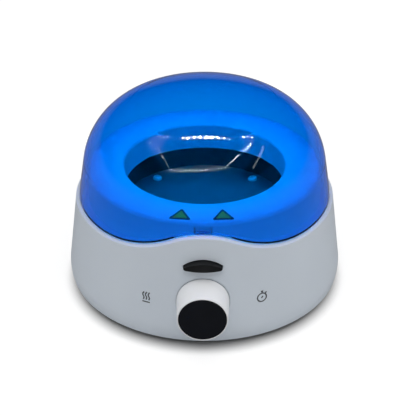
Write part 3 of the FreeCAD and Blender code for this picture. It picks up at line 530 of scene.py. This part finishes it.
# %% Triangular stickers
STICKER_SIDE = 13.3 * MM
FIELD_SIDE = STICKER_SIDE - 4.2 * MM
STICKER_CORNER = 0.8 * MM
CORNER_STEPS = 6
STICKER_DEPTH = 0.15 * MM
STICKERS = {"left": (-13.3, -58.4, -6), "right": (11.6, -58.5, 4)}


def towards(degrees):
    """A flat arrow of length 1 that points this way."""
    angle = math.radians(degrees)
    return Vector((math.cos(angle), math.sin(angle)))


def rounded_triangle(side, corner):
    """The outline of a triangle that points to the back, centred, with rounded corners."""
    reach = side / math.sqrt(3) - 2 * corner
    return [
        towards(turn) * reach + towards(turn - 60 + 120 * step / CORNER_STEPS) * corner
        for turn in (90, 210, 330)
        for step in range(CORNER_STEPS + 1)
    ]


def slab(name, outline, place, turn, low, high, material):
    """A flat slab with this outline, turned and moved to its place."""
    form = bmesh.new()
    spin = Matrix.Rotation(turn, 2)
    spots = [spin @ point for point in outline]
    base = [form.verts.new((place[0] + p.x, place[1] + p.y, low)) for p in spots]
    form.faces.new(base)
    lifted = bmesh.ops.extrude_face_region(form, geom=form.faces[:])
    tops = [v for v in lifted["geom"] if isinstance(v, bmesh.types.BMVert)]
    bmesh.ops.translate(form, verts=tops, vec=(0, 0, high - low))
    bmesh.ops.recalc_face_normals(form, faces=form.faces[:])
    mesh = bpy.data.meshes.new(name)
    form.to_mesh(mesh)
    form.free()
    mesh.materials.append(material)
    made = in_scene(name, mesh)
    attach(made, "base")


def coated_paper(name, low, high):
    material, tree, shader = surface(name, Roughness=0.45, IOR=1.48)
    tree.links.new(spread(tree, noise(tree, 1.5 * MM), low, high), shader.inputs["Base Color"])
    return material


STICKER_FIELD = coated_paper("yellow_coated_paper", "C8A81E", "D8B82A")
STICKER_BORDER = coated_paper("black_coated_paper", "15171A", "1E2023")
border = rounded_triangle(STICKER_SIDE, STICKER_CORNER)
field = rounded_triangle(FIELD_SIDE, STICKER_CORNER / 2)
level = DECK_Z + STICKER_DEPTH
top = level + STICKER_DEPTH / 3
for side, (across, forward, turn) in STICKERS.items():
    place = (across * MM, forward * MM)
    spin = math.radians(turn)
    slab(f"deck_sticker_{side}", border, place, spin, DECK_Z, level, STICKER_BORDER)
    slab(f"deck_sticker_field_{side}", field, place, spin, level, top, STICKER_FIELD)

# %% [markdown]
# Screws. Four bright screws hold the floor of the well, and four of plain steel hold the cover
# under the case. The construction has their heads as plain discs, and a cross recess with a
# rounded edge is what makes a disc read as a screw. One screw is made, by pulling in the top of
# a short cylinder and cutting two slots into it, and Geometry Nodes put it on four points. Each
# is turned differently, as a hand would leave it. The box of the plain screws gives the four
# corners. A head keeps its full radius up to 0.4 of its height and narrows to 0.8 of it on top.

# %% Screws with a cross recess
ROUND_FROM = 0.4
TOP_SHARE = 0.8
TURN_STEP = 0.7
HEAD_SIDES = 32
SHANK_SIDES = 16
SHARP_FROM = math.radians(35)
SCREW_HEAD_R = 2.8 * MM
SCREW_HEAD = 1.6 * MM
SCREW_SHANK_R = 1.25 * MM
RECESS_LENGTH = 3.2 * MM
RECESS_WIDTH = 0.65 * MM
RECESS_DEPTH = 1.0 * MM
SUNK_HEAD = 1.1 * MM
SUNK_RECESS_DEPTH = 0.7 * MM


def shifted(tree, geometry, up):
    """The geometry moved up by a number or a socket."""
    lift = add(tree, "ShaderNodeCombineXYZ", {"Z": up}).outputs[0]
    moved = {"Geometry": geometry, "Translation": lift}
    return add(tree, "GeometryNodeTransform", moved).outputs[0]


def scaled(tree, number, factor):
    return add(tree, "ShaderNodeMath", {0: number, 1: factor}, operation="MULTIPLY").outputs[0]


def screw_tree():
    sizes = dict.fromkeys(("Head", "Height", "Shank", "Length", "Slot", "Width", "Depth"), "Float")
    tree, given = new_tree("recessed_screws", **sizes, Plating="Material")
    disc = {"Radius": given["Head"], "Depth": given["Height"]}
    disc.update({"Vertices": HEAD_SIDES, "Side Segments": 4})
    blank = add(tree, "GeometryNodeMeshCylinder", disc).outputs["Mesh"]
    raised = shifted(tree, blank, scaled(tree, given["Height"], 0.5))
    point = add(tree, "GeometryNodeInputPosition").outputs[0]
    up = add(tree, "ShaderNodeSeparateXYZ", {0: point}).outputs["Z"]
    share = add(tree, "ShaderNodeMath", {0: up, 1: given["Height"]}, operation="DIVIDE").outputs[0]
    pull = {"Value": share, "From Min": ROUND_FROM, "From Max": 1.0}
    pull.update({"To Min": 1.0, "To Max": TOP_SHARE})
    inward = add(tree, "ShaderNodeMapRange", pull, interpolation_type="SMOOTHSTEP").outputs[0]
    factors = add(tree, "ShaderNodeCombineXYZ", {"X": inward, "Y": inward, "Z": 1.0}).outputs[0]
    pulled = add(tree, "ShaderNodeVectorMath", {0: point, 1: factors}, operation="MULTIPLY")
    narrowed = {"Geometry": raised, "Position": pulled.outputs[0]}
    rounded = add(tree, "GeometryNodeSetPosition", narrowed).outputs[0]
    cut = add(tree, "GeometryNodeMeshBoolean", {"Mesh 1": rounded}, operation="DIFFERENCE")
    # A slot's box is centred on the top of the head, so it is twice as deep as the recess.
    deep = scaled(tree, given["Depth"], 2.0)
    for across, along in (("Slot", "Width"), ("Width", "Slot")):
        size = add(tree, "ShaderNodeCombineXYZ", {"X": given[across], "Y": given[along], "Z": deep})
        slot = add(tree, "GeometryNodeMeshCube", {"Size": size.outputs[0]}).outputs["Mesh"]
        tree.links.new(shifted(tree, slot, given["Height"]), cut.inputs["Mesh 2"])
    stem = {"Vertices": SHANK_SIDES, "Radius": given["Shank"], "Depth": given["Length"]}
    shank = add(tree, "GeometryNodeMeshCylinder", stem).outputs["Mesh"]
    whole = add(tree, "GeometryNodeJoinGeometry", {0: cut.outputs["Mesh"]})
    tree.links.new(shifted(tree, shank, scaled(tree, given["Length"], -0.5)), whole.inputs[0])
    turn = scaled(tree, add(tree, "GeometryNodeInputIndex").outputs[0], TURN_STEP)
    facing = add(tree, "ShaderNodeCombineXYZ", {"Z": turn}).outputs[0]
    placed = {"Points": given["Geometry"], "Instance": whole.outputs[0], "Rotation": facing}
    screws = add(tree, "GeometryNodeInstanceOnPoints", placed).outputs[0]
    return end_tree(tree, screws, given["Plating"])


def smooth(piece):
    """Shades a mesh smooth, but keeps its sharp edges."""
    piece.data.shade_smooth()
    piece.data.set_sharp_from_angle(angle=SHARP_FROM)


def points_object(name, points):
    mesh = bpy.data.meshes.new(name)
    mesh.from_pydata(points, [], [])
    return in_scene(name, mesh)


def four_screws(name, node, height, recess_depth, finish, upward=True):
    """Four recessed screws in place of a node of plain ones, with their heads up or down."""
    low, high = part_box(node)
    across = (low.x + SCREW_HEAD_R, high.x - SCREW_HEAD_R)
    along = (low.y + SCREW_HEAD_R, high.y - SCREW_HEAD_R)
    seat = high.z - height if upward else low.z + height
    way = Matrix.Rotation(0 if upward else math.pi, 4, "X")
    spots = [way.inverted() @ Vector((x, y, seat)) for x in across for y in along]
    head = {"Head": SCREW_HEAD_R, "Height": height, "Plating": FINISHES[finish]}
    shank = {"Shank": SCREW_SHANK_R, "Length": high.z - low.z - height}
    recess = {"Slot": RECESS_LENGTH, "Width": RECESS_WIDTH, "Depth": recess_depth}
    made = grown(name, points_object(name + "_spots", spots), SCREWS, **head, **shank, **recess)
    made.data.transform(way)
    smooth(made)
    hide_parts(node)
    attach(made, "base")


SCREWS = screw_tree()
four_screws("well_screws", "plate_screws", SCREW_HEAD, RECESS_DEPTH, "bright_screw")
four_screws("base_screws", "cover_screws", SUNK_HEAD, SUNK_RECESS_DEPTH, "steel", upward=False)

# %% [markdown]
# Button spring. Behind the button lies a coil spring, the one hidden piece that changes its shape
# in the real instrument. A spiral with a round profile swept along it is the wire. The spring lies
# between a fixed seat and the button's arm, and a press squashes it towards the seat by as much
# as the button travels. Here it is made once, at its rest length, and fixed to the case.

# %% The button spring
SPRING_WIRE_R = 0.35 * MM
SPRING_PITCH = 1.55 * MM
STEPS_PER_TURN = 32
WIRE_SIDES = 12


def spring_tree():
    sizes = dict.fromkeys(("Radius", "Turns", "Length", "Wire"), "Float")
    tree, given = new_tree("coil_spring", **sizes, Steel="Material")
    coil = {"Start Radius": given["Radius"], "End Radius": given["Radius"], "Height": given["Length"]}
    coil.update({"Resolution": STEPS_PER_TURN, "Rotations": given["Turns"]})
    path = add(tree, "GeometryNodeCurveSpiral", coil).outputs[0]
    section = {"Resolution": WIRE_SIDES, "Radius": given["Wire"]}
    wire = add(tree, "GeometryNodeCurvePrimitiveCircle", section).outputs[0]
    swept = {"Curve": path, "Profile Curve": wire, "Fill Caps": True}
    return end_tree(tree, add(tree, "GeometryNodeCurveToMesh", swept).outputs[0], given["Steel"])


spring_low, spring_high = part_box("latch_spring")
coil_length = spring_high.y - spring_low.y - 2 * SPRING_WIRE_R
coil_r = (spring_high.x - spring_low.x) / 2 - SPRING_WIRE_R
form = {"Radius": coil_r, "Turns": coil_length / SPRING_PITCH, "Length": coil_length}
wire = {"Wire": SPRING_WIRE_R, "Steel": FINISHES["spring_steel"]}
empty = points_object("spring_seat", [])
button_spring = grown("button_spring", empty, spring_tree(), **form, **wire)
spring_start = Vector((0, spring_low.y + SPRING_WIRE_R, (spring_low.z + spring_high.z) / 2))
lying = Matrix.Rotation(-math.pi / 2, 4, "X")
button_spring.data.transform(Matrix.Translation(spring_start) @ lying)
smooth(button_spring)
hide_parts("latch_spring")
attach(button_spring, "base")
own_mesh(button_spring)

# %% [markdown]
# Light. The picture was taken in a light box: a wide soft panel overhead, the white table
# that throws light back on the walls, and a dark room beyond. One large area lamp gives the
# soft shadow under the case. Weak ones in front and at both sides open the knob and the wall,
# which is brightest towards its sides. None shows in gloss, because the strips of the next
# step are what the dome mirrors.

# %% Lamps


def area_lamp(name, size, power, place, target):
    """A square lamp of this size in metres and power in watts, aimed at the target."""
    lamp = in_scene(name, bpy.data.lights.new(name, "AREA"))
    lamp.data.shape = "SQUARE"
    lamp.data.size = size
    lamp.data.energy = power
    lamp.location = place
    lamp.rotation_euler = (Vector(target) - lamp.location).to_track_quat("-Z", "Y").to_euler()
    lamp.visible_glossy = False


TABLE = (0, 0, 0)
WALL = (0, 0, 0.05)
area_lamp("overhead_softbox", size=1.6, power=12.8, place=(0.0, -0.1, 1.25), target=TABLE)
area_lamp("front_fill", size=1.0, power=0.4, place=(-0.4, -1.3, 0.9), target=WALL)
area_lamp("left_fill", size=1.0, power=3.2, place=(-1.4, -0.5, 0.55), target=WALL)
area_lamp("right_fill", size=1.0, power=4.2, place=(1.4, -0.5, 0.55), target=WALL)

# %% [markdown]
# The strips of the light box. The dome mirrors a frame of small lamps that hangs one metre
# above the table. They are a row of points along each side, and Geometry Nodes put a small
# square on every point. A dim frosted tube at the left and one at the right give the dome its
# soft streaks. All are part of the studio and not of the product, and only gloss can see them.
# Each strip has three corners, a count of lamps and the size of a lamp, and each tube has two
# ends and a width, all in metres.

# %% Rows of small lamps and two tubes
STRIP_Z = 1.0


def strip_tree():
    tree, given = new_tree("lamps_along_a_strip", Count="Int", Lamp="Float", Glow="Material")
    row = {"Curve": given["Geometry"], "Count": given["Count"]}
    spots = add(tree, "GeometryNodeCurveToPoints", row, mode="COUNT")
    lamp = {"Size X": given["Lamp"], "Size Y": given["Lamp"], "Vertices X": 2, "Vertices Y": 2}
    square = add(tree, "GeometryNodeMeshGrid", lamp)
    placed = {"Points": spots.outputs["Points"], "Instance": square.outputs["Mesh"]}
    rows = add(tree, "GeometryNodeInstanceOnPoints", placed)
    return end_tree(tree, rows.outputs[0], given["Glow"])


def lamp_glow(name, strength):
    material, tree = bare_material(name)
    glow = add(tree, "ShaderNodeEmission", {"Color": WHITE, "Strength": strength})
    add(tree, "ShaderNodeOutputMaterial", {"Surface": glow.outputs[0]})
    return material


def only_in_gloss(thing):
    """Hides a piece of the studio from everything but a glossy surface."""
    thing.visible_camera = False
    thing.visible_diffuse = False
    thing.visible_shadow = False
    thing.visible_transmission = False


LAMP_GLOW = lamp_glow("small_lamp_glow", 200)
TUBE_GLOW = lamp_glow("frosted_tube_glow", 6)
STRIPS = {
    "back": ((-0.387, 0.398), (0.0, 0.364), (0.401, 0.408), 19, 0.018),
    "left": ((-0.561, 0.244), (-0.516, -0.125), (-0.488, -0.544), 22, 0.012),
    "front": ((-0.488, -0.544), (-0.058, -0.584), (0.287, -0.481), 18, 0.016),
    "right": ((0.287, -0.481), (0.386, -0.077), (0.456, 0.264), 19, 0.014),
}
STRIP_LAMPS = strip_tree()
for side, (*corners, count, lamp) in STRIPS.items():
    line = polylines(f"lamp_strip_{side}_line", [[(x, y, STRIP_Z) for x, y in corners]])
    inputs = {"Count": count, "Lamp": lamp, "Glow": LAMP_GLOW}
    only_in_gloss(grown(f"lamp_strip_{side}", line, STRIP_LAMPS, **inputs))

TUBES = {
    "left": ((-0.483, 0.144), (-0.519, -0.577), 0.02),
    "right": ((0.672, 0.204), (0.788, -0.435), 0.05),
}


def flat_quad(name, corners, height, material):
    """An object of one level face with four corners, each across and back."""
    mesh = bpy.data.meshes.new(name)
    mesh.from_pydata([(x, y, height) for x, y in corners], [], [(0, 1, 2, 3)])
    mesh.materials.append(material)
    return in_scene(name, mesh)


for side, ((x0, y0), (x1, y1), width) in TUBES.items():
    half = width / 2
    corners = [(x0 - half, y0), (x0 + half, y0), (x1 + half, y1), (x1 - half, y1)]
    tube = flat_quad(f"frosted_tube_{side}", corners, STRIP_Z, TUBE_GLOW)
    only_in_gloss(tube)

# %% [markdown]
# Floor and background. The floor is white paper that throws light back on the walls. To
# whatever looks straight at it or through the dome it is a duller paper with a glow of its own.
# The glow fades out in a ring round the case's foot, centred a little in front of the axis: the
# real contact shadow shows there, and the ring also paints a grey shade on the floor, wider in
# front of the case. Gloss sees a dimmer paper and a share of that glow, because the sides of the
# photographed dome mirror a dim table. Far off, where the lamps no longer reach, the glow rises
# until the table is as white as the world behind it. The world is white for the camera, and for
# gloss it is a dim horizon under a dark ceiling, like the room.

# %% Floor and world
FLOOR_HALF = 3.0
PAPER = 0.74
PAPER_SEEN = 0.37
PAPER_IN_GLOSS = 0.16
FLOOR_GLOW = 0.74
FAR_GLOW = 1.0
# Painted shade: between these two radii, round a centre 7 mm in front of the axis, the glow is left
# out, so the floor greys round the foot, wider in front.
PAINTED_SHADE_FROM = 0.0785
PAINTED_SHADE_TO = 0.092
FAR_FROM = 0.25
FAR_FULL = 1.2
PAINTED_SHADE_CENTRE = AXIS + Vector((0, -0.007, 0))
GLOSS_SHARE = 0.15
FILL = 0.19
HORIZON = 0.15
HORIZON_GLOW = 0.2


def sight_and_gloss(tree):
    """Two outputs: 1 for rays from the camera or through glass, and 1 for rays from gloss."""
    path = add(tree, "ShaderNodeLightPath").outputs
    looks = {0: path["Is Camera Ray"], 1: path["Is Transmission Ray"]}
    return add(tree, "ShaderNodeMath", looks, operation="MAXIMUM").outputs[0], path["Is Glossy Ray"]


def smooth_ramp(tree, sockets):
    """A Map Range node that eases in and out. Returns its output."""
    return add(tree, "ShaderNodeMapRange", sockets, interpolation_type="SMOOTHSTEP").outputs[0]


def white_floor():
    material, tree = bare_material("white_paper_table")
    sight, gloss = sight_and_gloss(tree)
    unseen = add(tree, "ShaderNodeMix", {0: gloss, 2: PAPER, 3: PAPER_IN_GLOSS}).outputs[0]
    paper = add(tree, "ShaderNodeMix", {0: sight, 2: unseen, 3: PAPER_SEEN}).outputs[0]
    matt = add(tree, "ShaderNodeBsdfDiffuse", {"Color": paper})
    place = add(tree, "ShaderNodeTexCoord").outputs["Object"]
    centred = add(tree, "ShaderNodeVectorMath", {0: place, 1: PAINTED_SHADE_CENTRE}, operation="SUBTRACT")
    away = add(tree, "ShaderNodeVectorMath", {0: centred.outputs[0]}, operation="LENGTH")
    distance = {"Value": away.outputs["Value"]}
    beyond = {"From Min": FAR_FROM, "From Max": FAR_FULL, "To Min": FLOOR_GLOW, "To Max": FAR_GLOW}
    far = smooth_ramp(tree, {**distance, **beyond})
    # The glow is left out near the foot, which paints a ring of shade on the floor.
    near = {"From Min": PAINTED_SHADE_FROM, "From Max": PAINTED_SHADE_TO, "To Max": far}
    glow_past_painted_shade = smooth_ramp(tree, {**distance, **near})
    share = {0: gloss, 1: GLOSS_SHARE, 2: sight}
    shared = add(tree, "ShaderNodeMath", share, operation="MULTIPLY_ADD")
    seen = {0: shared.outputs[0], 1: glow_past_painted_shade}
    strength = add(tree, "ShaderNodeMath", seen, operation="MULTIPLY")
    glow = add(tree, "ShaderNodeEmission", {"Color": WHITE, "Strength": strength.outputs[0]})
    both = add(tree, "ShaderNodeAddShader", {0: matt.outputs[0], 1: glow.outputs[0]})
    add(tree, "ShaderNodeOutputMaterial", {"Surface": both.outputs[0]})
    return material


edges = ((-1, -1), (1, -1), (1, 1), (-1, 1))
corners = [(x * FLOOR_HALF, y * FLOOR_HALF) for x, y in edges]
table_top = flat_quad("table_top", corners, 0, white_floor())


def dark_room():
    """White for sight, dim for light, and in gloss a dim horizon under a dark ceiling."""
    world = bpy.data.worlds.new("light_box")
    bpy.context.scene.world = world
    world.use_nodes = True
    tree = world.node_tree
    tree.nodes.clear()
    sight, gloss = sight_and_gloss(tree)
    direction = add(tree, "ShaderNodeTexCoord").outputs["Generated"]
    upward = add(tree, "ShaderNodeSeparateXYZ", {0: direction}).outputs["Z"]
    fade = {"From Min": 0.0, "From Max": HORIZON, "To Min": HORIZON_GLOW, "To Max": 0.0}
    low = smooth_ramp(tree, {"Value": upward, **fade})
    dim = add(tree, "ShaderNodeMix", {0: gloss, 2: FILL, 3: low})
    strength = add(tree, "ShaderNodeMath", {0: dim.outputs[0], 1: sight}, operation="MAXIMUM")
    sky = add(tree, "ShaderNodeBackground", {"Color": WHITE, "Strength": strength.outputs[0]})
    add(tree, "ShaderNodeOutputWorld", {"Surface": sky.outputs[0]})


dark_room()
bpy.context.scene.view_settings.view_transform = "Standard"
